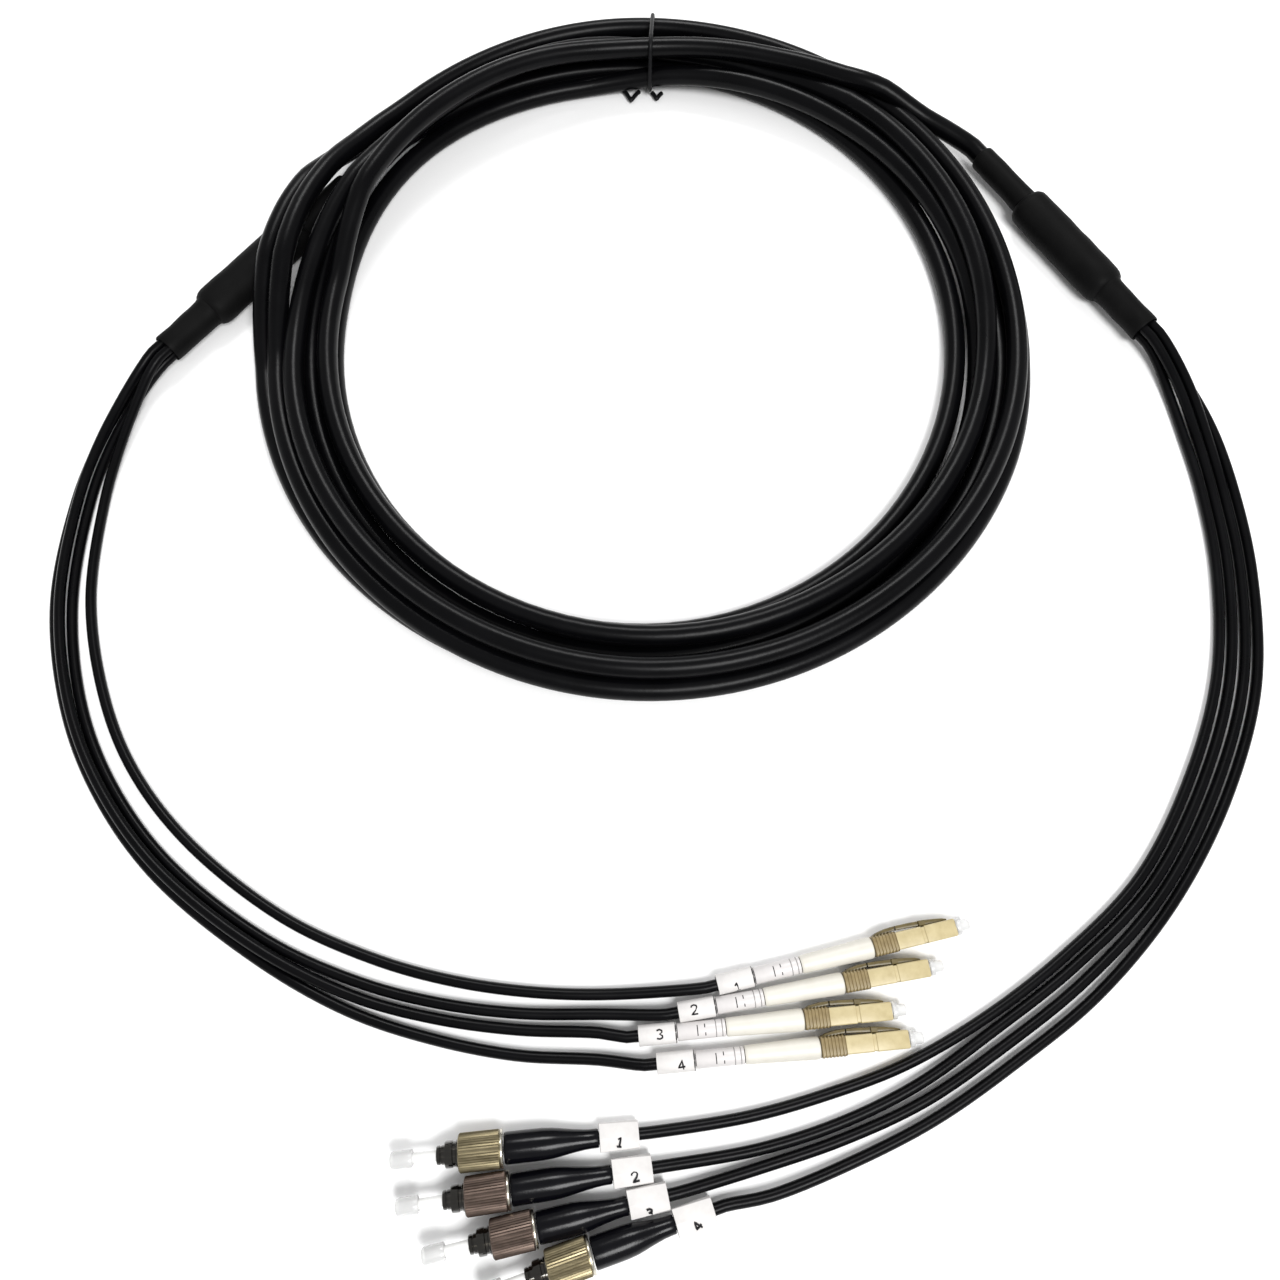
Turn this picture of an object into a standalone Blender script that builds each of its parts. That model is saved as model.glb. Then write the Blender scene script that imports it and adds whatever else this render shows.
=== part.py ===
"""Fibre breakout cable: a tied coil of trunk cable that splits, in two heat-shrunk breakouts,
into four legs with LC plugs and four legs with FC plugs. Metres, +Z up, lying on a floor at Z = 0,
with the origin under the centre of the coil."""

from math import cos, pi, radians, sin, sqrt

import bmesh
import bpy
from mathutils import Matrix, Vector

# Clearance between pieces that touch on the real cable
GAP = 0.0003

# Trunk cable and its coil
TRUNK_D = 0.0065
COIL_INNER_R = 0.0990
COIL_PITCH = 0.0073
COIL_BOTTOM_TURNS = 4
COIL_STEPS = 72

# Breakouts: a fat body between a sleeve on the trunk and a sleeve on the legs
BODY_D = 0.0120
BODY_LENGTH = 0.0400
TRUNK_SLEEVE_D = 0.0084
TRUNK_SLEEVE_LENGTH = 0.0250
LEG_SLEEVE_D = 0.0090
LEG_SLEEVE_LENGTH = 0.0190
BREAKOUT_Z = BODY_D / 2 + 0.0001

# Where each leg bundle leaves its breakout, and the heading it leaves in
LC_EXIT = (-0.1506, -0.0120)
LC_HEADING = (-0.61, -0.79)
FC_EXIT = (0.1641, -0.0043)
FC_HEADING = (0.532, -0.847)

# Trunk tail that climbs off the coil to the FC breakout: angle in degrees, radius, height
FC_TAIL = [
    (80, 0.1204, 0.0086), (70, 0.1217, 0.0089), (60, 0.1258, 0.0090), (51, 0.1298, 0.0081),
    (43, 0.1331, 0.0069),
]
FC_TAIL_STRAIGHT = 0.0050

# Wire tie round the coil
TIE_D = 0.0016
TIE_ANGLE = 87.5
TIE_END = 0.0045

# Legs
LEG_D = 0.0030
LEG_STEP = 0.0085

# Middle of each leg bundle over the floor, from the breakout on
LC_ROUTE = [
    (-0.1506, -0.0120), (-0.1564, -0.0198), (-0.1613, -0.0316), (-0.1653, -0.0460),
    (-0.1680, -0.0637), (-0.1674, -0.0969), (-0.1594, -0.1278), (-0.1471, -0.1511),
    (-0.1280, -0.1731), (-0.0980, -0.1940), (-0.0722, -0.2047), (-0.0509, -0.2098),
    (-0.0301, -0.2122), (-0.0094, -0.2124),
]
FC_ROUTE = [
    (0.1641, -0.0043), (0.1695, -0.0135), (0.1737, -0.0250), (0.1770, -0.0400),
    (0.1792, -0.0600), (0.1790, -0.0880), (0.1730, -0.1218), (0.1590, -0.1530),
    (0.1397, -0.1811), (0.1161, -0.2023), (0.0933, -0.2180), (0.0715, -0.2313),
    (0.0508, -0.2400), (0.0306, -0.2458),
]

# Each leg's distance to the left of that middle, and its height over the floor, at each of those
# points; the first height is over the breakout's axis
LC_SPREAD = {
    1: [(0.0017, 0.0017), (0.0022, 0.0050), (0.0032, 0.0030), (0.0036, 0.0016), (0.0043, 0.0015),
        (0.0053, 0.0015), (0.0065, 0.0015), (0.0067, 0.0015), (0.0072, 0.0015), (0.0069, 0.0015),
        (0.0066, 0.0015), (0.0060, 0.0015), (0.0054, 0.0015), (0.0048, 0.0016)],
    2: [(0.0017, -0.0017), (0.0014, 0.0016), (0.0002, 0.0015), (-0.0001, 0.0015), (0.0, 0.0015),
        (0.0, 0.0015), (0.0, 0.0015), (0.0, 0.0015), (0.0, 0.0015), (0.0, 0.0015),
        (0.0, 0.0015), (0.0, 0.0015), (0.0, 0.0015), (0.0, 0.0018)],
    3: [(-0.0017, 0.0017), (-0.0012, 0.0050), (-0.0018, 0.0044), (-0.0021, 0.0044), (-0.0022, 0.0042),
        (-0.0025, 0.0040), (-0.0022, 0.0042), (-0.0021, 0.0043), (-0.0022, 0.0042), (-0.0025, 0.0040),
        (-0.0036, 0.0020), (-0.0038, 0.0015), (-0.0040, 0.0016), (-0.0045, 0.0024)],
    4: [(-0.0017, -0.0017), (-0.0020, 0.0016), (-0.0037, 0.0015), (-0.0040, 0.0015), (-0.0044, 0.0015),
        (-0.0050, 0.0015), (-0.0044, 0.0015), (-0.0042, 0.0015), (-0.0044, 0.0015), (-0.0050, 0.0015),
        (-0.0073, 0.0015), (-0.0087, 0.0015), (-0.0101, 0.0015), (-0.0109, 0.0018)],
}
FC_SPREAD = {
    1: [(-0.0017, -0.0017), (-0.0030, 0.0016), (-0.0045, 0.0015), (-0.0051, 0.0015), (-0.0051, 0.0015),
        (-0.0053, 0.0015), (-0.0056, 0.0015), (-0.0054, 0.0015), (-0.0051, 0.0015), (-0.0055, 0.0015),
        (-0.0057, 0.0015), (-0.0075, 0.0015), (-0.0090, 0.0015), (-0.0096, 0.0016)],
    2: [(-0.0017, 0.0017), (-0.0017, 0.0048), (-0.0017, 0.0035), (-0.0017, 0.0017), (-0.0017, 0.0015),
        (-0.0018, 0.0015), (-0.0019, 0.0015), (-0.0018, 0.0015), (-0.0017, 0.0015), (-0.0021, 0.0015),
        (-0.0022, 0.0015), (-0.0020, 0.0015), (-0.0018, 0.0015), (-0.0019, 0.0017)],
    3: [(0.0017, 0.0017), (0.0017, 0.0048), (0.0017, 0.0035), (0.0017, 0.0017), (0.0017, 0.0015),
        (0.0018, 0.0015), (0.0019, 0.0015), (0.0018, 0.0015), (0.0017, 0.0015), (0.0021, 0.0015),
        (0.0022, 0.0015), (0.0020, 0.0015), (0.0018, 0.0015), (0.0021, 0.0018)],
    4: [(0.0017, -0.0017), (0.0030, 0.0016), (0.0045, 0.0015), (0.0051, 0.0015), (0.0051, 0.0015),
        (0.0053, 0.0015), (0.0056, 0.0015), (0.0054, 0.0015), (0.0051, 0.0015), (0.0066, 0.0015),
        (0.0068, 0.0015), (0.0067, 0.0015), (0.0073, 0.0015), (0.0086, 0.0020)],
}

# LC plugs: label centre and housing rear face over the floor, all on one height
LC_AXIS_Z = 0.00285
LC_PLUGS = {
    1: ((0.0257, -0.2042), (0.0620, -0.1959)),
    2: ((0.0156, -0.2112), (0.0538, -0.2048)),
    3: ((0.0054, -0.2172), (0.0430, -0.2137)),
    4: ((0.0100, -0.2238), (0.0468, -0.2204)),
}
LC_GRIP_LENGTH = 0.0062
LC_GRIP_SIDE = 0.0052
LC_LENGTH = 0.0225
LC_SIDE = 0.0045
LC_LATCH_WIDTH = 0.0024
LC_LATCH_TOP = 0.0039
LC_LATCH_THICKNESS = 0.0006
LC_FERRULE_D = 0.00125
LC_NOSE_DEPTH = 0.0050
LC_CAP_D = 0.0030
LC_CAP_OUT = 0.0040
LC_BOOT_D = 0.0056
LC_BOOT_END_D = 0.0046
LC_BOOT_LENGTH = 0.0188
LC_MARKER_D = 0.0044
LC_MARKER_LENGTH = 0.0123
LC_LABEL_WIDTH = 0.0052
LC_LABEL_LENGTH = 0.0098

# FC plugs: label centre and nut centre over the floor
FC_NUT_Z = 0.00475
FC_LABEL_Z = 0.0026
FC_PLUGS = {
    1: ((-0.0043, -0.2408), (-0.0380, -0.2439)),
    2: ((-0.0010, -0.2486), (-0.0359, -0.2532)),
    3: ((0.0029, -0.2550), (-0.0292, -0.2618)),
    4: ((0.0141, -0.2585), (-0.0157, -0.2677)),
}
FC_NUT_D = 0.0090
FC_NUT_LENGTH = 0.0108
FC_NUT_EDGE = 0.0004
FC_BARREL_D = 0.0062
FC_BARREL_OUT = 0.0033
FC_TIP_D = 0.0044
FC_TIP_LENGTH = 0.0020
FC_FERRULE_D = 0.0025
FC_FERRULE_OUT = 0.0100
FC_CAP_D = 0.0041
FC_CAP_LENGTH = 0.0055
FC_CAP_WALL = 0.0010
FC_BOOT_D = 0.0074
FC_BOOT_END_D = 0.0044
FC_BOOT_LENGTH = 0.0203
FC_LABEL_WIDTH = 0.0066
FC_LABEL_LENGTH = 0.0098

# Wall of the number labels, which are flattened tubes round the leg
LABEL_WALL = 0.0004

JACKET = ("jacket_black", (0.012, 0.012, 0.014), 0.38, 0.0)
SHRINK = ("heat_shrink_black", (0.016, 0.016, 0.017), 0.62, 0.0)
TIE_BLACK = ("tie_black", (0.01, 0.01, 0.01), 0.5, 0.0)
BEIGE = ("housing_beige", (0.66, 0.58, 0.34), 0.42, 0.0)
WHITE_BOOT = ("boot_white", (0.82, 0.80, 0.76), 0.5, 0.0)
CAP_CLEAR = ("cap_clear", (0.86, 0.86, 0.85), 0.3, 0.0)
PAPER = ("label_white", (0.86, 0.86, 0.84), 0.6, 0.0)
NICKEL = ("nickel", (0.50, 0.46, 0.40), 0.3, 1.0)
BLACK_BOOT = ("boot_black", (0.012, 0.012, 0.016), 0.3, 0.0)


def clear_scene():
    for obj in list(bpy.data.objects):
        bpy.data.objects.remove(obj, do_unlink=True)


def new_collection(name):
    collection = bpy.data.collections.new(name)
    bpy.context.scene.collection.children.link(collection)
    return collection


clear_scene()
PARTS = new_collection("fibre_breakout_cable")
CUTTERS = new_collection("cutters")


def material(spec):
    name, colour, roughness, metallic = spec
    found = bpy.data.materials.get(name)
    if found:
        return found
    made = bpy.data.materials.new(name)
    made.use_nodes = True
    shader = made.node_tree.nodes["Principled BSDF"]
    shader.inputs["Base Color"].default_value = (*colour, 1.0)
    shader.inputs["Roughness"].default_value = roughness
    shader.inputs["Metallic"].default_value = metallic
    return made


def add_object(name, data, spec, matrix=None, parent=None):
    obj = bpy.data.objects.new(name, data)
    PARTS.objects.link(obj)
    if parent:
        obj.parent = parent
    if matrix:
        obj.matrix_local = matrix
    if spec and not data.materials:
        data.materials.append(material(spec))
    return obj


def to_cutter(obj):
    for collection in obj.users_collection:
        collection.objects.unlink(obj)
    CUTTERS.objects.link(obj)
    obj.hide_render = True
    obj.display_type = "WIRE"
    return obj


def add_boolean(obj, other, operation):
    modifier = obj.modifiers.new(operation.lower(), "BOOLEAN")
    modifier.operation = operation
    modifier.object = other
    modifier.solver = "EXACT"


def evaluated_mesh(obj, name):
    """The object's mesh with its modifiers applied; the object itself goes."""
    bpy.context.view_layer.update()
    depsgraph = bpy.context.evaluated_depsgraph_get()
    mesh = bpy.data.meshes.new_from_object(obj.evaluated_get(depsgraph))
    mesh.name = name
    bpy.data.objects.remove(obj, do_unlink=True)
    return mesh


def smooth(mesh):
    mesh.shade_smooth()
    mesh.set_sharp_from_angle(angle=radians(35))


def weld(mesh):
    welded = bmesh.new()
    welded.from_mesh(mesh)
    bmesh.ops.remove_doubles(welded, verts=welded.verts, dist=0.000001)
    bmesh.ops.recalc_face_normals(welded, faces=welded.faces)
    welded.to_mesh(mesh)
    welded.free()


def turned_mesh(name, profile, steps):
    """A profile of (radius, height) turned round Z. It runs down the outer side, top to bottom."""
    outline = bmesh.new()
    corners = [outline.verts.new((radius, 0, height)) for radius, height in profile]
    for start, end in zip(corners, corners[1:]):
        outline.edges.new((start, end))
    if profile[0][0] > 0:
        outline.edges.new((corners[-1], corners[0]))
    mesh = bpy.data.meshes.new(name + "_profile")
    outline.to_mesh(mesh)
    outline.free()
    obj = bpy.data.objects.new(name + "_profile", mesh)
    PARTS.objects.link(obj)
    screw = obj.modifiers.new("turn", "SCREW")
    screw.steps = steps
    screw.render_steps = steps
    screw.use_merge_vertices = True
    screw.merge_threshold = 0.00001
    turned = evaluated_mesh(obj, name)
    weld(turned)
    smooth(turned)
    return turned


def box_object(name, low, high):
    made = bmesh.new()
    bmesh.ops.create_cube(made, size=1.0)
    size = [b - a for a, b in zip(low, high)]
    middle = [(a + b) / 2 for a, b in zip(low, high)]
    bmesh.ops.scale(made, vec=size, verts=made.verts)
    bmesh.ops.translate(made, vec=middle, verts=made.verts)
    mesh = bpy.data.meshes.new(name)
    made.to_mesh(mesh)
    made.free()
    return add_object(name, mesh, None)


def plate_object(name, outline, thickness):
    """A flat outline in (axis, latch side) coordinates, extruded across the plug."""
    data = bpy.data.curves.new(name, "CURVE")
    data.dimensions = "2D"
    data.fill_mode = "BOTH"
    data.extrude = thickness / 2
    spline = data.splines.new("POLY")
    spline.points.add(len(outline) - 1)
    for point, (along, up) in zip(spline.points, outline):
        point.co = (along, up, 0, 1)
    spline.use_cyclic_u = True
    obj = add_object(name + "_outline", data, None)
    mesh = evaluated_mesh(obj, name)
    weld(mesh)
    # Outline X runs along the plug's Z, outline Y along its X, and the thickness along its Y
    mesh.transform(Matrix(((0, 1, 0, 0), (0, 0, 1, 0), (1, 0, 0, 0), (0, 0, 0, 1))))
    return add_object(name, mesh, None)


def catmull_rom(points, step):
    """Points every step along a smooth curve through the given points."""
    ends = [points[0] * 2 - points[1]] + list(points) + [points[-1] * 2 - points[-2]]
    fine = []
    for index in range(1, len(ends) - 2):
        before, start, end, after = ends[index - 1:index + 3]
        chord = (end - start).length
        knots = [sqrt(max((a - b).length, 1e-6)) for a, b in ((start, before), (end, start), (after, end))]
        slope_in = (start - before) / knots[0] - (end - before) / (knots[0] + knots[1]) + (end - start) / knots[1]
        slope_out = (end - start) / knots[1] - (after - start) / (knots[1] + knots[2]) + (after - end) / knots[2]
        slope_in = slope_in * knots[1]
        slope_out = slope_out * knots[1]
        count = max(1, round(chord / step))
        for piece in range(count):
            t = piece / count
            fine.append(
                start * (2 * t**3 - 3 * t**2 + 1) + slope_in * (t**3 - 2 * t**2 + t)
                + end * (3 * t**2 - 2 * t**3) + slope_out * (t**3 - t**2)
            )
    fine.append(points[-1])
    return fine


def tube(name, points, diameter, resolution, spec):
    data = bpy.data.curves.new(name, "CURVE")
    data.dimensions = "3D"
    data.bevel_depth = diameter / 2
    data.bevel_resolution = resolution
    data.use_fill_caps = True
    spline = data.splines.new("POLY")
    spline.points.add(len(points) - 1)
    for point, place in zip(spline.points, points):
        point.co = (*place, 1)
    return add_object(name, data, spec)


def polar(angle, radius, height):
    return Vector((radius * cos(radians(angle)), radius * sin(radians(angle)), height))


def coil_profile():
    """Outline of the turns lying on and beside each other, each one a twelve-sided round."""
    radius = TRUNK_D / 2
    flat = radius * cos(radians(15))
    layer = sqrt(TRUNK_D**2 - (COIL_PITCH / 2)**2)
    first = COIL_INNER_R + radius
    bottom = [(first + turn * COIL_PITCH, flat) for turn in range(COIL_BOTTOM_TURNS)]
    top = [(middle + COIL_PITCH / 2, flat + layer) for middle, _ in bottom[:-1]]

    def arc(centre, start, stop):
        count = round(abs(start - stop) / 30)
        return [
            (centre[0] + radius * cos(radians(start - 30 * step)), centre[1] + radius * sin(radians(start - 30 * step)))
            for step in range(count + 1)
        ]

    profile = arc(top[0], 165, 45)
    for centre in top[1:-1]:
        profile += arc(centre, 135, 45)
    profile += arc(top[-1], 135, 15)
    profile += arc(bottom[-1], 45, -135)
    for centre in reversed(bottom[1:-1]):
        profile += arc(centre, -45, -135)
    profile += arc(bottom[0], -45, -225)
    return profile


COIL_TOP = TRUNK_D / 2 * (1 + cos(radians(15))) + sqrt(TRUNK_D**2 - (COIL_PITCH / 2)**2)
COIL_OUTER_R = COIL_INNER_R + TRUNK_D + (COIL_BOTTOM_TURNS - 1) * COIL_PITCH


def tie_path(offset):
    """Once round the coil's section, with both ends bent away on the inner side."""
    low = TIE_D / 2
    high = COIL_TOP + offset
    inner = COIL_INNER_R - offset
    outer = COIL_OUTER_R + offset
    corner = TRUNK_D / 2
    shift = TIE_D * 0.65
    stations = [
        (inner - 0.0012, 0.0016, -TIE_END), (inner, 0.0030, -shift), (inner, 0.0055, -shift),
        (inner + corner, high - 0.0006, -shift * 0.6), (inner + 2 * corner, high, -shift * 0.4),
        (outer - 2 * corner, high, 0), (outer - corner * 0.8, high - 0.0012, 0), (outer, 0.0060, 0),
        (outer, 0.0030, 0), (outer - corner, low, shift * 0.3), (inner + corner, low, shift * 0.8),
        (inner, low + 0.0006, shift), (inner - 0.0014, low + 0.0008, TIE_END * 0.8),
    ]
    along = polar(TIE_ANGLE - 90, 1, 0)
    return [polar(TIE_ANGLE, radius, height) + along * side for radius, height, side in stations]


def axis_matrix(start, end, at):
    """Local Z from start to end, local Y upwards, with the origin at the given point."""
    forward = (end - start).normalized()
    side = Vector((0, 0, 1)).cross(forward).normalized()
    upwards = forward.cross(side)
    matrix = Matrix((side, upwards, forward)).transposed().to_4x4()
    matrix.translation = at
    return matrix


def breakout_places(exit_point, heading):
    """Places along a breakout, from the end of its leg sleeve back to the trunk."""
    backwards = -Vector((*heading, 0)).normalized()
    start = Vector((*exit_point, BREAKOUT_Z))
    lengths = (0, LEG_SLEEVE_LENGTH, LEG_SLEEVE_LENGTH + BODY_LENGTH)
    lengths += (LEG_SLEEVE_LENGTH + BODY_LENGTH + TRUNK_SLEEVE_LENGTH,)
    return [start + backwards * length for length in lengths], backwards


def sleeve_mesh(name, diameter, length, steps=20):
    """A solid round sleeve with eased ends, from Z = 0 up."""
    radius = diameter / 2
    edge = radius * 0.12
    profile = [
        (0, length), (radius - edge, length), (radius, length - edge), (radius, edge), (radius - edge, 0), (0, 0),
    ]
    return turned_mesh(name, profile, steps)


def make_breakout(prefix, exit_point, heading):
    places, backwards = breakout_places(exit_point, heading)
    matrix = axis_matrix(places[0], places[1], places[0])
    empty = bpy.data.objects.new(prefix + "_breakout", None)
    PARTS.objects.link(empty)
    empty.matrix_world = matrix
    spans = (
        ("leg_sleeve", LEG_SLEEVE_D, 0, LEG_SLEEVE_LENGTH),
        ("body", BODY_D, LEG_SLEEVE_LENGTH, BODY_LENGTH),
        ("trunk_sleeve", TRUNK_SLEEVE_D, LEG_SLEEVE_LENGTH + BODY_LENGTH, TRUNK_SLEEVE_LENGTH),
    )
    for piece, diameter, start, length in spans:
        name = f"{prefix}_breakout_{piece}"
        mesh = sleeve_mesh(name, diameter, length - GAP)
        add_object(name, mesh, SHRINK, Matrix.Translation((0, 0, start)), empty)
    return places, backwards


def channel(name, start, end, diameter):
    """A round cutter from start to end, with the named clearance all round."""
    length = (end - start).length + 2 * GAP
    mesh = sleeve_mesh(name, diameter + 2 * GAP, length)
    return to_cutter(add_object(name, mesh, None, axis_matrix(start, end, start - (end - start).normalized() * GAP)))


def make_coil(lc_places, tail_points):
    mesh = turned_mesh("trunk_coil", coil_profile(), COIL_STEPS)
    coil = add_object("trunk_coil", mesh, JACKET)
    add_boolean(coil, channel("lc_body_channel", lc_places[1], lc_places[2], BODY_D), "DIFFERENCE")
    add_boolean(coil, channel("lc_sleeve_channel", lc_places[2], lc_places[3], TRUNK_SLEEVE_D), "DIFFERENCE")
    first = tail_points[0] + (tail_points[0] - tail_points[1]).normalized() * GAP
    cut_curve = tube("fc_tail_channel_curve", [first] + tail_points[1:], TRUNK_D + 2 * GAP, 4, None)
    tail_mesh = evaluated_mesh(cut_curve, "fc_tail_channel")
    weld(tail_mesh)
    add_boolean(coil, to_cutter(add_object("fc_tail_channel", tail_mesh, None)), "DIFFERENCE")
    tie_curve = tube("tie_channel_curve", tie_path(TIE_D / 2 + GAP), TIE_D + 2 * GAP, 2, None)
    tie_mesh = evaluated_mesh(tie_curve, "tie_channel")
    weld(tie_mesh)
    add_boolean(coil, to_cutter(add_object("tie_channel", tie_mesh, None)), "DIFFERENCE")


def leg_places(route, spread):
    """A leg's own points along its bundle, from the bundle's middle and the leg's place in it."""
    flat = [Vector((x, y, 0)) for x, y in route]
    places = []
    for index, (side, height) in enumerate(spread):
        before = flat[max(index - 1, 0)]
        after = flat[min(index + 1, len(flat) - 1)]
        heading = (after - before).normalized()
        left = Vector((-heading.y, heading.x, 0))
        places.append(flat[index] + left * side + Vector((0, 0, height)))
    return places


def make_leg(name, exit_point, heading, route, spread, rear, toward, straight):
    """One leg from its breakout to the rear of its plug, straight inside the label and the boot."""
    forward = Vector((*heading, 0)).normalized()
    left = Vector((-forward.y, forward.x, 0))
    side, height = spread[0]
    first = Vector((*exit_point, BREAKOUT_Z + height)) + left * side + forward * GAP
    line_start = rear - toward * straight
    route_points = [first, first + forward * 0.004] + leg_places(route, spread)[1:]
    route_points += [line_start - toward * 0.003, line_start]
    line = catmull_rom(route_points, LEG_STEP)
    line.append(rear - toward * GAP)
    return tube(name, line, LEG_D, 2, JACKET)


def oval_tube_mesh(name, width, length):
    """A flattened tube round a leg, its length along Z and its width along X."""
    data = bpy.data.curves.new(name, "CURVE")
    data.dimensions = "2D"
    data.fill_mode = "BOTH"
    data.extrude = length / 2
    hole = LEG_D / 2 + GAP
    for half_width, half_height in ((width / 2, hole + LABEL_WALL), (width / 2 - LABEL_WALL, hole)):
        corners = []
        for side in (1, -1):
            for step in range(-3, 4):
                angle = radians(30 * step)
                along = half_width - half_height + half_height * cos(angle)
                corners.append((side * along, side * half_height * sin(angle)))
        spline = data.splines.new("POLY")
        spline.points.add(len(corners) - 1)
        for point, (x, y) in zip(spline.points, corners):
            point.co = (x, y, 0, 1)
        spline.use_cyclic_u = True
    obj = add_object(name + "_outline", data, None)
    mesh = evaluated_mesh(obj, name)
    weld(mesh)
    mesh.transform(Matrix.Translation((0, 0, -length / 2)))
    smooth(mesh)
    return mesh


def tube_mesh(name, front, back, length, bore, steps=16):
    """A tapered round tube from Z = 0 back to -length, with a bore all through."""
    edge = 0.0003
    profile = [
        (bore, 0), (front / 2 - edge, 0), (front / 2, -edge), (back / 2, -length + edge),
        (back / 2 - edge, -length), (bore, -length),
    ]
    return turned_mesh(name, profile, steps)


def lc_housing_mesh():
    """LC plug: grip, square body, latch, trigger, open nose and ferrule."""
    half = LC_SIDE / 2
    grip = LC_GRIP_SIDE / 2
    body = box_object("lc_body", (-half, -half, LC_GRIP_LENGTH - 0.0005), (half, half, LC_LENGTH))
    block = box_object("lc_grip", (-grip, -grip, 0), (grip, grip, LC_GRIP_LENGTH))
    top = LC_LATCH_TOP
    wall = LC_LATCH_THICKNESS
    latch = plate_object("lc_latch", [
        (0.0205, half - 0.0004), (0.0195, half + 0.0006), (0.0160, half + 0.0011), (0.0078, top),
        (0.0066, top), (0.0066, top - wall), (0.0078, top - wall), (0.0150, half + 0.0011 - wall * 0.9),
        (0.0170, half - 0.0004),
    ], LC_LATCH_WIDTH)
    trigger = plate_object("lc_trigger", [
        (0.0012, grip - 0.0004), (0.0052, top), (0.0061, top), (0.0061, top - wall), (0.0040, grip - 0.0004),
    ], LC_LATCH_WIDTH)
    bore = turned_mesh("lc_bore", [
        (0, LC_LENGTH + 0.001), (LC_CAP_D / 2 + GAP, LC_LENGTH + 0.001),
        (LC_CAP_D / 2 + GAP, LC_LENGTH - LC_NOSE_DEPTH), (0, LC_LENGTH - LC_NOSE_DEPTH),
    ], 16)
    ferrule = turned_mesh("lc_ferrule", [
        (0, LC_LENGTH - 0.0002), (LC_FERRULE_D / 2, LC_LENGTH - 0.0002),
        (LC_FERRULE_D / 2, LC_LENGTH - LC_NOSE_DEPTH - 0.001), (0, LC_LENGTH - LC_NOSE_DEPTH - 0.001),
    ], 12)
    for other in (block, latch, trigger):
        add_boolean(body, other, "UNION")
    add_boolean(body, add_object("lc_bore", bore, None), "DIFFERENCE")
    add_boolean(body, add_object("lc_ferrule", ferrule, None), "UNION")
    pieces = [modifier.object for modifier in body.modifiers]
    mesh = evaluated_mesh(body, "lc_housing")
    for piece in pieces:
        bpy.data.objects.remove(piece, do_unlink=True)
    weld(mesh)
    smooth(mesh)
    return mesh


def lc_cap_mesh():
    """Dust cap over the ferrule: a small cup that stands out of the nose."""
    radius = LC_CAP_D / 2
    hole = LC_FERRULE_D / 2 + GAP
    bottom = LC_LENGTH - LC_NOSE_DEPTH + GAP
    end = LC_LENGTH + LC_CAP_OUT
    return turned_mesh("lc_dust_cap", [
        (0, end), (radius * 0.75, end), (radius, end - radius * 0.3), (radius, bottom),
        (hole, bottom), (hole, LC_LENGTH + GAP), (0, LC_LENGTH + GAP),
    ], 14)


def make_lc_plugs():
    bore = LEG_D / 2 + GAP
    housing = lc_housing_mesh()
    cap = lc_cap_mesh()
    boot = tube_mesh("lc_boot", LC_BOOT_D, LC_BOOT_END_D, LC_BOOT_LENGTH, bore)
    marker = tube_mesh("lc_marker", LC_MARKER_D, LC_MARKER_D, LC_MARKER_LENGTH, bore)
    label = oval_tube_mesh("lc_label", LC_LABEL_WIDTH, LC_LABEL_LENGTH)
    boot_at = -GAP
    marker_at = boot_at - LC_BOOT_LENGTH - GAP
    for number, (label_xy, rear_xy) in LC_PLUGS.items():
        start = Vector((*label_xy, LC_AXIS_Z))
        rear = Vector((*rear_xy, LC_AXIS_Z))
        label_at = LC_LABEL_LENGTH / 2 - (rear - start).length
        empty = bpy.data.objects.new(f"lc_plug_{number}", None)
        PARTS.objects.link(empty)
        empty.matrix_world = axis_matrix(start, rear, rear)
        add_object(f"lc_housing_{number}", housing, BEIGE, None, empty)
        add_object(f"lc_dust_cap_{number}", cap, CAP_CLEAR, None, empty)
        add_object(f"lc_boot_{number}", boot, WHITE_BOOT, Matrix.Translation((0, 0, boot_at)), empty)
        add_object(f"lc_marker_{number}", marker, CAP_CLEAR, Matrix.Translation((0, 0, marker_at)), empty)
        add_object(f"lc_label_{number}", label, PAPER, Matrix.Translation((0, 0, label_at)), empty)
        forward = (rear - start).normalized()
        make_leg(
            f"lc_leg_{number}", LC_EXIT, LC_HEADING, LC_ROUTE, LC_SPREAD[number],
            rear, forward, LC_LABEL_LENGTH - label_at,
        )


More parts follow.
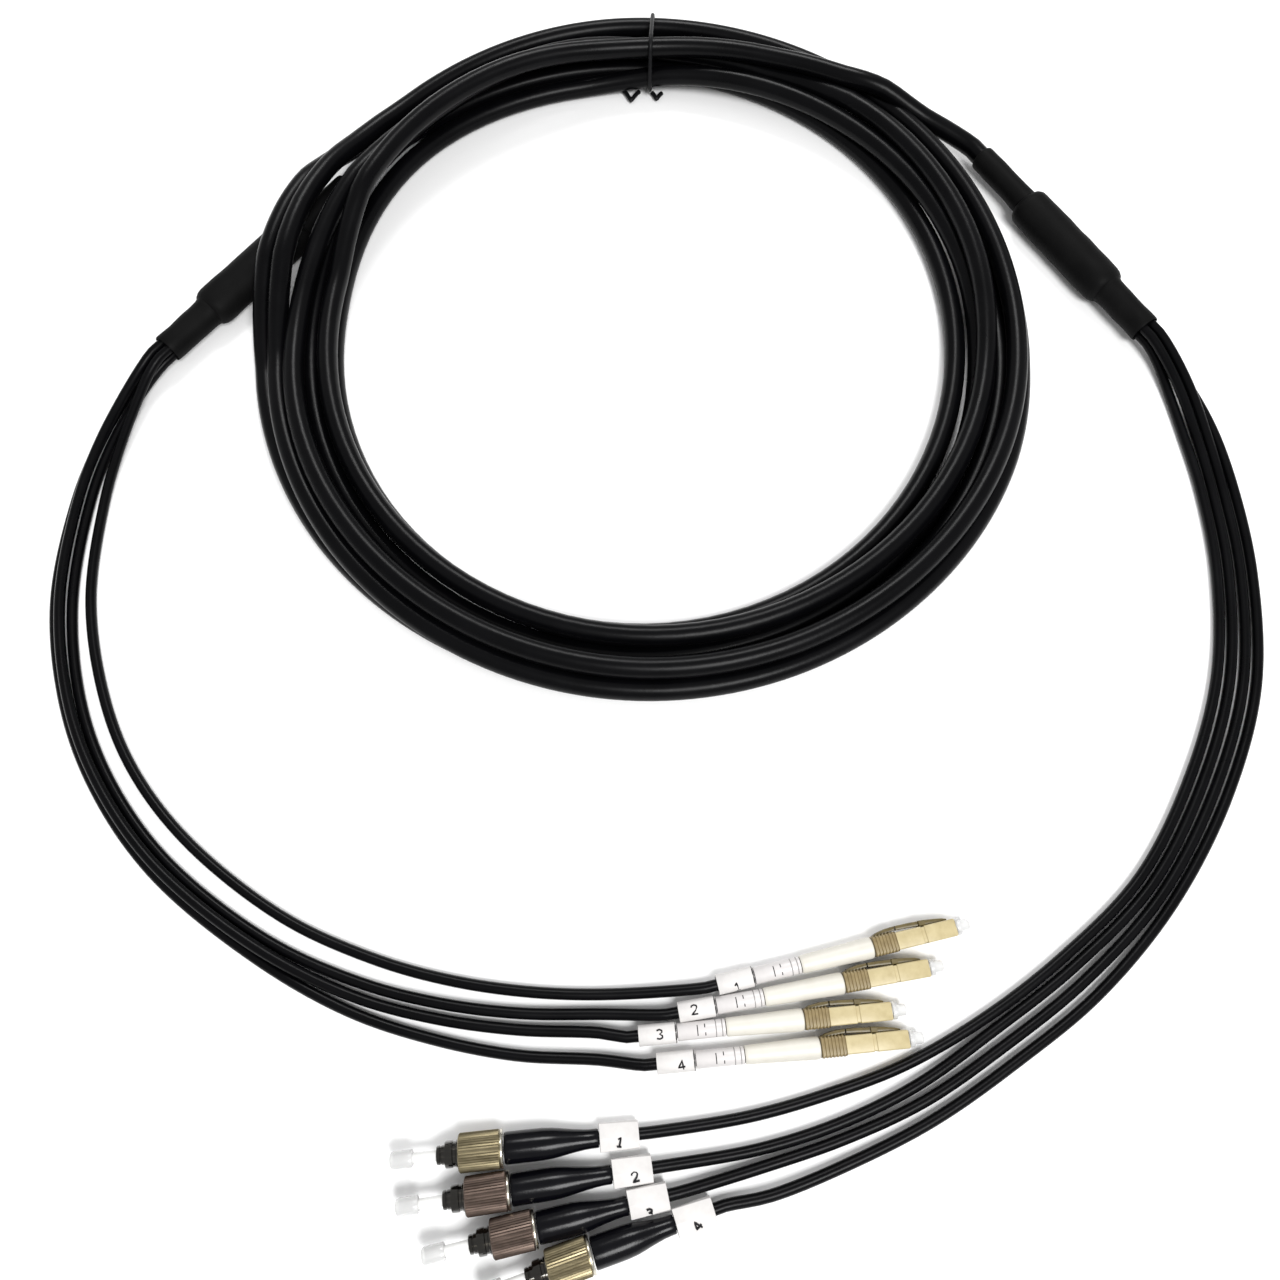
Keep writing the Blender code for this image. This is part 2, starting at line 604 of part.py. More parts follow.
def fc_meshes():
    """The FC plug's turned pieces, all on Z with the nut's centre at 0."""
    half = FC_NUT_LENGTH / 2
    radius = FC_NUT_D / 2
    inner = FC_BARREL_D / 2 + GAP
    edge = FC_NUT_EDGE
    nut = turned_mesh("fc_nut", [
        (inner, half), (radius - edge, half), (radius, half - edge), (radius, -half + edge),
        (radius - edge, -half), (inner, -half),
    ], 28)
    shoulder = half + FC_BARREL_OUT
    tip = shoulder + FC_TIP_LENGTH
    ferrule_end = tip + FC_FERRULE_OUT
    barrel = turned_mesh("fc_barrel", [
        (0, ferrule_end), (FC_FERRULE_D / 2, ferrule_end), (FC_FERRULE_D / 2, tip), (FC_TIP_D / 2, tip),
        (FC_TIP_D / 2, shoulder), (FC_BARREL_D / 2, shoulder), (FC_BARREL_D / 2, -half), (0, -half),
    ], 20)
    hole = FC_FERRULE_D / 2 + GAP
    cap_end = ferrule_end + FC_CAP_WALL + GAP
    cap = turned_mesh("fc_dust_cap", [
        (0, cap_end), (FC_CAP_D * 0.32, cap_end), (FC_CAP_D / 2, cap_end - FC_CAP_D * 0.25),
        (FC_CAP_D / 2, cap_end - FC_CAP_LENGTH), (hole, cap_end - FC_CAP_LENGTH),
        (hole, ferrule_end + GAP), (0, ferrule_end + GAP),
    ], 16)
    bore = LEG_D / 2 + GAP
    length = FC_BOOT_LENGTH
    front = FC_BOOT_D / 2
    back = FC_BOOT_END_D / 2
    boot = turned_mesh("fc_boot", [
        (bore, 0), (front - 0.0002, 0), (front, -0.0004), (front, -length * 0.40), (front * 0.93, -length * 0.52),
        (back * 1.12, -length * 0.80), (back, -length * 0.90), (back, -length + 0.0002),
        (back - 0.0002, -length), (bore, -length),
    ], 18)
    label = oval_tube_mesh("fc_label", FC_LABEL_WIDTH, FC_LABEL_LENGTH)
    return nut, barrel, cap, boot, label


def make_fc_plugs():
    nut, barrel, cap, boot, label = fc_meshes()
    half = FC_NUT_LENGTH / 2
    for number, (label_xy, nut_xy) in FC_PLUGS.items():
        middle = Vector((*nut_xy, FC_NUT_Z))
        start = Vector((*label_xy, FC_LABEL_Z))
        forward = (middle - start).normalized()
        empty = bpy.data.objects.new(f"fc_plug_{number}", None)
        PARTS.objects.link(empty)
        empty.matrix_world = axis_matrix(start, middle, middle)
        label_at = -(middle - start).length + FC_LABEL_LENGTH / 2
        add_object(f"fc_nut_{number}", nut, NICKEL, None, empty)
        add_object(f"fc_barrel_{number}", barrel, NICKEL, None, empty)
        add_object(f"fc_dust_cap_{number}", cap, CAP_CLEAR, None, empty)
        add_object(f"fc_boot_{number}", boot, BLACK_BOOT, Matrix.Translation((0, 0, -half - GAP)), empty)
        add_object(f"fc_label_{number}", label, PAPER, Matrix.Translation((0, 0, label_at)), empty)
        rear = middle - forward * half
        make_leg(
            f"fc_leg_{number}", FC_EXIT, FC_HEADING, FC_ROUTE, FC_SPREAD[number],
            rear, forward, (middle - start).length - half + FC_LABEL_LENGTH / 2,
        )


def make_tail(fc_places, backwards):
    """Trunk from the coil's top layer down to the FC breakout's trunk sleeve."""
    route = [polar(*station) for station in FC_TAIL]
    end = fc_places[3] + backwards * GAP
    route += [end + backwards * FC_TAIL_STRAIGHT, end]
    points = catmull_rom(route, 0.011)
    tube("trunk_tail", points, TRUNK_D, 3, JACKET)
    return points


lc_places, _ = make_breakout("lc", LC_EXIT, LC_HEADING)
fc_places, fc_backwards = make_breakout("fc", FC_EXIT, FC_HEADING)
tail = make_tail(fc_places, fc_backwards)
make_coil(lc_places, tail)
tube("coil_tie", tie_path(TIE_D / 2 + GAP), TIE_D, 2, TIE_BLACK)
make_lc_plugs()
make_fc_plugs()
bpy.context.view_layer.update()
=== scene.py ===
from math import atan2, cos, dist, pi, radians, sin, sqrt

import bmesh
import bpy
from mathutils import Matrix, Vector, noise


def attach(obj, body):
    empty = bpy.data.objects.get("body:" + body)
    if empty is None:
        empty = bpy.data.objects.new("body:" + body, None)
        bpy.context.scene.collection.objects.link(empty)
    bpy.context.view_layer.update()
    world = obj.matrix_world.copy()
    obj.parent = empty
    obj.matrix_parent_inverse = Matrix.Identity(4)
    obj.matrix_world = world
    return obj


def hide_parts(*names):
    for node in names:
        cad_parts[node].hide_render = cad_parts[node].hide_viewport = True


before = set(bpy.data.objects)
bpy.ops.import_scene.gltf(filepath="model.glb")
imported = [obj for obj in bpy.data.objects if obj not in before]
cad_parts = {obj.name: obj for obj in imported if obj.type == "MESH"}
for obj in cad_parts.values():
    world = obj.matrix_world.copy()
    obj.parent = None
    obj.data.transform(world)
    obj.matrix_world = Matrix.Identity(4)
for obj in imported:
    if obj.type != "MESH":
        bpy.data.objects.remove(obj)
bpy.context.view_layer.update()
print("frame loaded")

mm = 0.001
cableBody = "cable"


# Camera: looks down at the coil from the near side, as the photograph does
camera = {
    "place": (0.92, -212.7, 284.95),  # mm
    "tilt": 20,  # degrees off straight down
    "lens": 29.0,  # mm
    "sensor": 36.0,  # mm
}


def addCamera():
    data = bpy.data.cameras.new("camera")
    data.lens = camera["lens"]
    data.sensor_width = camera["sensor"]
    data.clip_start = 0.005
    obj = bpy.data.objects.new("camera", data)
    obj.location = Vector(camera["place"]) * mm
    obj.rotation_euler = (radians(camera["tilt"]), 0, 0)
    bpy.context.scene.collection.objects.link(obj)
    bpy.context.scene.camera = obj


addCamera()


# Shader maths: a socket that adds and multiplies like a number
class Value:
    def __init__(self, mat, socket):
        self.mat = mat
        self.socket = socket

    def maths(self, operation, *values):
        sockets = {index: value for index, value in enumerate(values)}
        return self.mat.node("ShaderNodeMath", {"operation": operation}, sockets)

    def __add__(self, other):
        return self.maths("ADD", self, other)

    def __radd__(self, other):
        return self.maths("ADD", other, self)

    def __mul__(self, other):
        return self.maths("MULTIPLY", self, other)

    def __rmul__(self, other):
        return self.maths("MULTIPLY", other, self)

    def __pow__(self, other):
        return self.maths("POWER", self, other)


class Finish:
    def __init__(self, name, **constants):
        self.material = bpy.data.materials.new(name)
        self.material.use_nodes = True
        self.tree = self.material.node_tree
        self.shader = self.tree.nodes["Principled BSDF"]
        for socket, value in constants.items():
            self.shader.inputs[socket.replace("_", " ")].default_value = value

    def node(self, kind, settings=None, sockets=None, output=0):
        made = self.tree.nodes.new(kind)
        for name, value in (settings or {}).items():
            if name == "stops":
                self.setStops(made.color_ramp, value)
            else:
                setattr(made, name, value)
        for name, value in (sockets or {}).items():
            self.feed(made.inputs[name], value)
        return Value(self, made.outputs[output])

    def setStops(self, ramp, stops):
        while len(ramp.elements) < len(stops):
            ramp.elements.new(1.0)
        for element, (position, colour) in zip(ramp.elements, stops):
            element.position = position
            element.color = (*colour, 1.0)

    def feed(self, socket, value):
        if isinstance(value, Value):
            self.tree.links.new(value.socket, socket)
        else:
            socket.default_value = value

    def place(self):
        return self.node("ShaderNodeTexCoord", output="Object")

    def noise(self, scale, detail=3.0, roughness=0.55, at=None):
        sockets = {"Vector": at or self.place(), "Scale": scale, "Detail": detail, "Roughness": roughness}
        return self.node("ShaderNodeTexNoise", None, sockets)

    def mix(self, factor, first, second):
        return self.node(
            "ShaderNodeMix", {"data_type": "RGBA"}, {0: factor, 6: (*first, 1.0), 7: (*second, 1.0)}, output=2
        )

    def set(self, name, value):
        self.feed(self.shader.inputs[name], value)

    def constant(self, name, value):
        self.shader.inputs[name].default_value = value

    def bump(self, height, strength, distance):
        values = {"Strength": strength, "Distance": distance, "Height": height}
        self.set("Normal", self.node("ShaderNodeBump", None, values))


# Black jacket of the trunk and the legs: satin, with faint rub marks and a fine skin
jacketLook = {
    "dark": (0.0009, 0.0009, 0.0012), "rubbed": (0.0036, 0.0036, 0.0044), "rough": 0.19, "gloss": 0.09,
    "patches": 55, "skin": 900,
}


def jacketFinish():
    mat = Finish("jacketBlack", Specular_IOR_Level=jacketLook["gloss"])
    patches = mat.noise(jacketLook["patches"], 4.0)
    skin = mat.noise(jacketLook["skin"], 2.0)
    mat.set("Base Color", mat.mix(patches ** 2.0, jacketLook["dark"], jacketLook["rubbed"]))
    mat.set("Roughness", patches * 0.16 + skin * 0.06 + jacketLook["rough"])
    mat.bump(skin, 0.10, 0.0002)
    return mat


# Heat-shrink over the breakouts: matt, slightly pebbled
shrinkLook = {
    "dark": (0.0024, 0.0024, 0.0025), "light": (0.0062, 0.0062, 0.0062), "rough": 0.40, "gloss": 0.05,
    "cloud": 120, "grain": 1400,
}


def shrinkFinish():
    mat = Finish("heatShrink", Specular_IOR_Level=shrinkLook["gloss"])
    cloud = mat.noise(shrinkLook["cloud"], 4.0)
    grain = mat.noise(shrinkLook["grain"], 2.0)
    mat.set("Base Color", mat.mix(cloud, shrinkLook["dark"], shrinkLook["light"]))
    mat.set("Roughness", cloud * 0.18 + grain * 0.08 + shrinkLook["rough"])
    mat.bump(cloud * 0.6 + grain * 0.4, 0.25, 0.0003)
    return mat


# Plastic-covered wire of the tie
tieLook = {
    "dark": (0.0016, 0.0016, 0.002), "light": (0.008, 0.008, 0.009), "rough": 0.30, "gloss": 0.15,
    "grain": 1500,
}


def tieFinish():
    mat = Finish("tieBlack", Specular_IOR_Level=tieLook["gloss"])
    grain = mat.noise(tieLook["grain"], 2.0)
    mat.set("Base Color", mat.mix(grain, tieLook["dark"], tieLook["light"]))
    mat.set("Roughness", grain * 0.2 + tieLook["rough"])
    return mat


# Moulded plastics, paper and ink of the plugs, with painted shade on the LC latches, in the marker grooves
# and at the gap between each LC label and its marker
mouldings = {
    "housing": {"deep": (0.36, 0.29, 0.145), "light": (0.57, 0.49, 0.29), "rough": 0.36, "cloud": 420},
    "grip": {"deep": (0.15, 0.105, 0.042), "light": (0.32, 0.25, 0.125), "rough": 0.40, "cloud": 700},
    # latch arm and trigger: the housing's beige darkened to olive, painted shade for the latch's shaded side
    "latchPaintedShade": {"deep": (0.055, 0.040, 0.011), "light": (0.15, 0.115, 0.042), "rough": 0.36, "cloud": 600},
    "whiteBoot": {"deep": (0.58, 0.555, 0.49), "light": (0.69, 0.67, 0.61), "rough": 0.42, "cloud": 260},
    "blackBoot": {
        "deep": (0.0010, 0.0010, 0.0018), "light": (0.0030, 0.0030, 0.0046), "rough": 0.20, "cloud": 200,
        "gloss": 0.16,
    },
    "marker": {"deep": (0.58, 0.555, 0.55), "light": (0.66, 0.64, 0.63), "rough": 0.32, "cloud": 500},
    "cap": {"deep": (0.78, 0.78, 0.77), "light": (0.88, 0.88, 0.88), "rough": 0.22, "cloud": 500},
    "paper": {"deep": (0.58, 0.56, 0.55), "light": (0.67, 0.655, 0.64), "rough": 0.55, "cloud": 700},
    "ceramic": {"deep": (0.70, 0.70, 0.68), "light": (0.80, 0.80, 0.79), "rough": 0.18, "cloud": 900},
    # black of the printed digits and marker strokes, and also of the painted shade ring at each LC label's
    # end by the marker
    "inkAndGapShade": {
        "deep": (0.003, 0.003, 0.004), "light": (0.012, 0.012, 0.014), "rough": 0.5, "cloud": 2500,
        "gloss": 0.2,
    },
    # grey of painted shade, for the rings laid in the LC marker's grooves
    "paintedGrooveShade": {"deep": (0.18, 0.17, 0.17), "light": (0.28, 0.27, 0.27), "rough": 0.5, "cloud": 2500},
}


def mouldedFinish(name):
    look = mouldings[name]
    mat = Finish(name, Specular_IOR_Level=look.get("gloss", 0.4))
    cloud = mat.noise(look["cloud"], 4.0)
    grain = mat.noise(look["cloud"] * 9, 2.0)
    mat.set("Base Color", mat.mix(cloud, look["deep"], look["light"]))
    mat.set("Roughness", cloud * 0.14 + grain * 0.06 + (look["rough"] - 0.10))
    mat.bump(grain, 0.12, 0.0001)
    return mat


# Nickel plate: warmer on the nuts of plugs 1 and 4, browner on plugs 2 and 3, dark on the barrels; streaks
# run along the plugs
platings = {
    "nickelWarm": {
        "deep": (0.085, 0.068, 0.034), "light": (0.31, 0.265, 0.165), "rough": 0.32, "metal": 0.90,
    },
    "nickelBrown": {
        "deep": (0.036, 0.026, 0.021), "light": (0.165, 0.120, 0.098), "rough": 0.36, "metal": 0.85,
    },
    "nickelDark": {
        "deep": (0.006, 0.005, 0.004), "light": (0.045, 0.041, 0.033), "rough": 0.15, "metal": 1.0,
    },
    # pale nickel of each nut's rear rim: the same plating as the nut, painted paler as a painted highlight
    # along the edge
    "nickelPaintedHighlight": {"deep": (0.42, 0.39, 0.32), "light": (0.70, 0.67, 0.58), "rough": 0.20, "metal": 1.0},
}


def platedFinish(name):
    look = platings[name]
    mat = Finish(name, Metallic=look["metal"])
    stretch = {"Vector": mat.place(), "Scale": (0.08, 1.0, 1.0)}
    drawn = mat.node("ShaderNodeMapping", {"vector_type": "POINT"}, stretch)
    streaks = mat.noise(2600, 3.0, 0.6, drawn)
    cloud = mat.noise(500, 4.0)
    mat.set("Base Color", mat.mix(streaks * 0.65 + cloud * 0.35, look["deep"], look["light"]))
    mat.set("Roughness", cloud * 0.18 + streaks * 0.14 + (look["rough"] - 0.14))
    mat.bump(streaks, 0.20, 0.00006)
    return mat


finishes = {"jacket": jacketFinish(), "shrink": shrinkFinish(), "tie": tieFinish()}
for each in mouldings:
    finishes[each] = mouldedFinish(each)
for each in platings:
    finishes[each] = platedFinish(each)
finishes["cap"].constant("Transmission Weight", 0.45)
finishes["nickelDark"].constant("Coat Weight", 0.9)
print("finishes made")


# Mesh helpers
def addMesh(name, bm, look, body=cableBody, smoothUnder=35, replaced=()):
    mesh = bpy.data.meshes.new(name)
    bm.to_mesh(mesh)
    bm.free()
    mesh.shade_smooth()
    mesh.set_sharp_from_angle(angle=radians(smoothUnder))
    mesh.materials.append(finishes[look].material)
    obj = bpy.data.objects.new(name, mesh)
    bpy.context.scene.collection.objects.link(obj)
    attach(obj, body)
    if replaced:
        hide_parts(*replaced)
    return obj


def tidyMesh(bm):
    bmesh.ops.remove_doubles(bm, verts=bm.verts, dist=0.002 * mm)
    bmesh.ops.recalc_face_normals(bm, faces=bm.faces)


def turned(profile, steps):  # profile of (radius, height) in mm, turned round Z
    bm = bmesh.new()
    corners = [bm.verts.new((radius * mm, 0, height * mm)) for radius, height in profile]
    edges = [bm.edges.new(pair) for pair in zip(corners, corners[1:])]
    if profile[0][0] > 0:
        edges.append(bm.edges.new((corners[-1], corners[0])))
    bmesh.ops.spin(
        bm, geom=corners + edges, cent=(0, 0, 0), axis=(0, 0, 1), angle=2 * pi, steps=steps,
        use_merge=True, use_duplicate=False,
    )
    tidyMesh(bm)
    return bm


def stretched(profile, times):  # a profile made longer or shorter
    return [(radius, height * times) for radius, height in profile]


def drawnOut(corner, steps):  # a rounded square drawn through (height, side, width, shift) steps in mm
    bm = bmesh.new()
    bmesh.ops.create_grid(bm, x_segments=1, y_segments=1, size=0.5)
    bmesh.ops.bevel(
        bm, geom=bm.verts[:], offset=corner, offset_type="OFFSET", segments=3, profile=0.5, affect="VERTICES",
        material=-1,
    )
    face = bm.faces[:][0]
    outline = [vert.co.copy() for vert in face.verts]
    for index, (height, side, width, shift) in enumerate(steps):
        if index:
            face = bmesh.ops.extrude_discrete_faces(bm, faces=[face])["faces"][0]
        for vert, place in zip(face.verts, outline):
            vert.co = Vector((place.x * side + shift, place.y * width, height)) * mm
    bmesh.ops.holes_fill(bm, edges=[edge for edge in bm.edges if edge.is_boundary], sides=0)
    tidyMesh(bm)
    return bm


# Hoops of count corners joined in turn, and the last to the first; spot gives a corner's place in mm
def hooped(count, hoops, spot):
    bm = bmesh.new()
    ring = bmesh.ops.create_circle(bm, cap_ends=False, radius=1.0, segments=count)["verts"]
    first = edges = bm.edges[:]
    for index, hoop in enumerate(hoops):
        if index:
            made = bmesh.ops.extrude_edge_only(bm, edges=edges)["geom"]
            ring = [item for item in made if isinstance(item, bmesh.types.BMVert)]
            found = set(ring)
            joints = [item for item in made if isinstance(item, bmesh.types.BMEdge)]
            edges = [edge for edge in joints if found.issuperset(edge.verts)]
        for vert in ring:
            angle = atan2(vert.co.y, vert.co.x)
            spoke = round(angle / (2 * pi / count))
            vert.co = Vector(spot(spoke * 2 * pi / count, spoke, *hoop)) * mm
            vert.co.z = hoop[0] * mm
    bmesh.ops.bridge_loops(bm, edges=first + edges)
    tidyMesh(bm)
    return bm


def roughen(bm, amount, scale):  # push a skin in and out a little
    bm.normal_update()
    for vert in bm.verts:
        vert.co += vert.normal * noise.noise(vert.co * scale) * amount * mm


def axisFrame(start, end, at):  # Z along start to end, Y up
    forward = (end - start).normalized()
    side = Vector((0, 0, 1)).cross(forward).normalized()
    matrix = Matrix((side, forward.cross(side), forward)).transposed().to_4x4()
    matrix.translation = at
    return matrix


def moveTo(bm, matrix, along=0):
    bmesh.ops.transform(bm, matrix=matrix @ Matrix.Translation((0, 0, along * mm)), verts=bm.verts)


def smoothPath(points, step):  # points every step along a centripetal curve through the given ones
    ends = [points[0] * 2 - points[1]] + list(points) + [points[-1] * 2 - points[-2]]
    path = []
    for index in range(1, len(ends) - 2):
        before, start, end, after = ends[index - 1:index + 3]
        first = sqrt(max((start - before).length, 1e-6))
        middle = sqrt(max((end - start).length, 1e-6))
        last = sqrt(max((after - end).length, 1e-6))
        chord = (end - start) / middle
        slopeIn = ((start - before) / first - (end - before) / (first + middle) + chord) * middle
        slopeOut = (chord - (after - start) / (middle + last) + (after - end) / last) * middle
        count = max(1, round((end - start).length / step))
        for piece in range(count):
            t = piece / count
            path.append(
                start * (2 * t**3 - 3 * t**2 + 1) + slopeIn * (t**3 - 2 * t**2 + t)
                + end * (3 * t**2 - 2 * t**3) + slopeOut * (t**3 - t**2)
            )
    path.append(points[-1])
    return path


def pathLength(path):
    return sum((b - a).length for a, b in zip(path, path[1:]))


def addWire(name, lines, diameter, look, rings, replaced=()):  # lines of (points, closed or not)
    data = bpy.data.curves.new(name, "CURVE")
    data.dimensions = "3D"
    data.bevel_depth = diameter / 2 * mm
    data.bevel_resolution = rings
    data.use_fill_caps = True
    for line, closed in lines:
        spline = data.splines.new("POLY")
        spline.points.add(len(line) - 1)
        for point, place in zip(spline.points, line):
            point.co = (*place, 1)
        spline.use_cyclic_u = closed
        spline.use_smooth = True
    data.materials.append(finishes[look].material)
    obj = bpy.data.objects.new(name, data)
    bpy.context.scene.collection.objects.link(obj)
    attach(obj, cableBody)
    if replaced:
        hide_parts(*replaced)
    return obj


# Breakouts: places over the floor in mm, lengths from the leg end back to the trunk
breakout = {
    "bodyWidth": 12.0, "bodyLength": 40.0, "trunkSleeveWidth": 8.4, "trunkSleeveLength": 25.0,
    "legSleeveWidth": 9.0, "legSleeveLength": 19.0, "height": 6.1,
    "lc": {"exit": (-150.6, -12.0), "heading": (-0.61, -0.79)},
    "fc": {"exit": (164.1, -4.3), "heading": (0.532, -0.847)},
}


def breakoutAxis(end):
    place = breakout[end]
    exitPoint = Vector((*place["exit"], breakout["height"])) * mm
    backwards = -Vector((*place["heading"], 0)).normalized()
    return exitPoint, backwards


def breakoutLength():
    return breakout["legSleeveLength"] + breakout["bodyLength"] + breakout["trunkSleeveLength"]


# Trunk coil, clockwise seen from above: radius in mm of each turn at each of these sides of the coil
trunk = {
    "diameter": 6.5,
    "gap": 0.12,
    "pointsPerTurn": 108,
    "hump": 13.0,  # mm either way over which a turn climbs over what lies under it
    "start": (151.2, 113.3),  # angle and radius where the cable leaves the LC breakout
    "sides": (90, 0, -90, -180, -225),  # far, right, near, left and far left
    "turns": [
        (111.0, 103.4, 108.5, 98.5, 104.5),
        (104.0, 110.2, 115.3, 105.5, 109.0),
        (117.5, 117.0, 123.0, 120.5, 122.5),
        (124.7, 124.0, 127.0, 114.5, 118.5),
        (123.5, 121.0, 122.0, 108.0, 105.5),
        (112.5, 111.5, 111.0, 98.5, 101.5),
    ],
    "lastSide": 107.5,
    "tail": [(52, 118.2), (45, 123.8), (40, 128.6), (36, 132.4)],  # angle and radius
    "tailStraight": 5.0,
    "tailRise": 1.6,  # mm over the breakout's own height, just before the sleeve
}


def smoothNumbers(stations, position):  # a smooth curve through (position, value) stations
    last = len(stations) - 1
    index = next((i for i in range(1, last) if position < stations[i][0]), last)
    x0, y0 = stations[index - 1]
    x1, y1 = stations[index]
    slope = (y1 - y0) / (x1 - x0)
    before = (y1 - stations[index - 2][1]) / (x1 - stations[index - 2][0]) if index > 1 else slope
    after = (stations[index + 1][1] - y0) / (stations[index + 1][0] - x0) if index < last else slope
    t = (position - x0) / (x1 - x0)
    width = x1 - x0
    return (
        y0 * (2 * t**3 - 3 * t**2 + 1) + before * width * (t**3 - 2 * t**2 + t)
        + y1 * (3 * t**2 - 2 * t**3) + after * width * (t**3 - t**2)
    )


def coilStations():
    turns = [
        (360 * index - side, radius)
        for index, turn in enumerate(trunk["turns"]) for side, radius in zip(trunk["sides"], turn)
    ]
    turns.append((360 * len(trunk["turns"]) - trunk["sides"][0], trunk["lastSide"]))
    beyond = round((turns[-1][0] + 60) / 360) * 360
    tail = [(beyond - angle, radius) for angle, radius in trunk["tail"]]
    return [(-trunk["start"][0], trunk["start"][1])] + turns + tail


def clearHeight(point, laid, sleeves):  # lowest centre height at which the cable clears what is under it
    need = trunk["diameter"] + trunk["gap"]
    height = trunk["diameter"] / 2
    for other in laid:
        near = need**2 - (other.x - point.x)**2 - (other.y - point.y)**2
        if near > 0:
            height = max(height, other.z + sqrt(near))
    for start, end, radius, level in sleeves:
        along = max(0, min(1, (point - start).dot(end - start) / (end - start).length_squared))
        near = (radius + need / 2)**2 - (start.lerp(end, along) - point).length_squared
        if near > 0:
            height = max(height, level + sqrt(near))
    return height


def easedHeights(heights, spacing):  # long low humps that stay above every given height
    reach = max(1, round(trunk["hump"] / spacing))
    count = len(heights)
    lifted = [max(heights[max(0, i - reach):i + reach + 1]) for i in range(count)]
    eased = []
    for i in range(count):
        window = lifted[max(0, i - reach):i + reach + 1]
        eased.append(sum(window) / len(window))
    return eased


def layCoil():
    exitPoint, backwards = breakoutAxis("lc")
    place = exitPoint.xy / mm
    sleeves = []
    for piece in ("legSleeve", "body", "trunkSleeve"):
        after = place + backwards.xy * breakout[piece + "Length"]
        sleeves.append((place, after, breakout[piece + "Width"] / 2, breakout["height"]))
        place = after
    stations = coilStations()
    first = stations[0][0]
    last = stations[-1][0]
    perTurn = trunk["pointsPerTurn"]
    count = round((last - first) * perTurn / 360)
    plan = []
    for index in range(count + 1):
        position = first + (last - first) * index / count
        radius = smoothNumbers(stations, position)
        angle = radians(-position)
        plan.append(Vector((radius * cos(angle), radius * sin(angle))))
    spacing = (plan[1] - plan[0]).length
    laid = []
    for begin in range(0, len(plan), perTurn):
        part = range(begin, min(begin + perTurn, len(plan)))
        raw = []
        for i in part:
            under = laid[:max(0, i - perTurn // 2)]
            crossed = sleeves if i > perTurn // 3 else ()  # the cable starts inside the sleeves
            raw.append(clearHeight(plan[i], under, crossed))
        laid += [Vector((plan[i].x, plan[i].y, z)) for i, z in zip(part, raw)]
    heights = easedHeights([p.z for p in laid], spacing)
    return [Vector((p.x, p.y, z)) for p, z in zip(laid, heights)]


def trunkPath():
    coil = layCoil()
    lcExit, lcBack = breakoutAxis("lc")
    fcExit, fcBack = breakoutAxis("fc")
    start = lcExit + lcBack * breakoutLength() * mm
    end = fcExit + fcBack * breakoutLength() * mm
    # The cable comes down to each trunk sleeve over its first or last few points
    descents = [(coil[:8], breakout["height"]), (coil[:-5:-1], breakout["height"] + trunk["tailRise"])]
    for spots, height in descents:
        for index, spot in enumerate(spots):
            share = 1 - index / len(spots)
            spot.z += (height - spot.z) * share**2 * (3 - 2 * share)
    points = [start] + [p * mm for p in coil[1:]]
    points += [end + fcBack * trunk["tailStraight"] * mm, end]
    return smoothPath(points, 4.5 * mm)


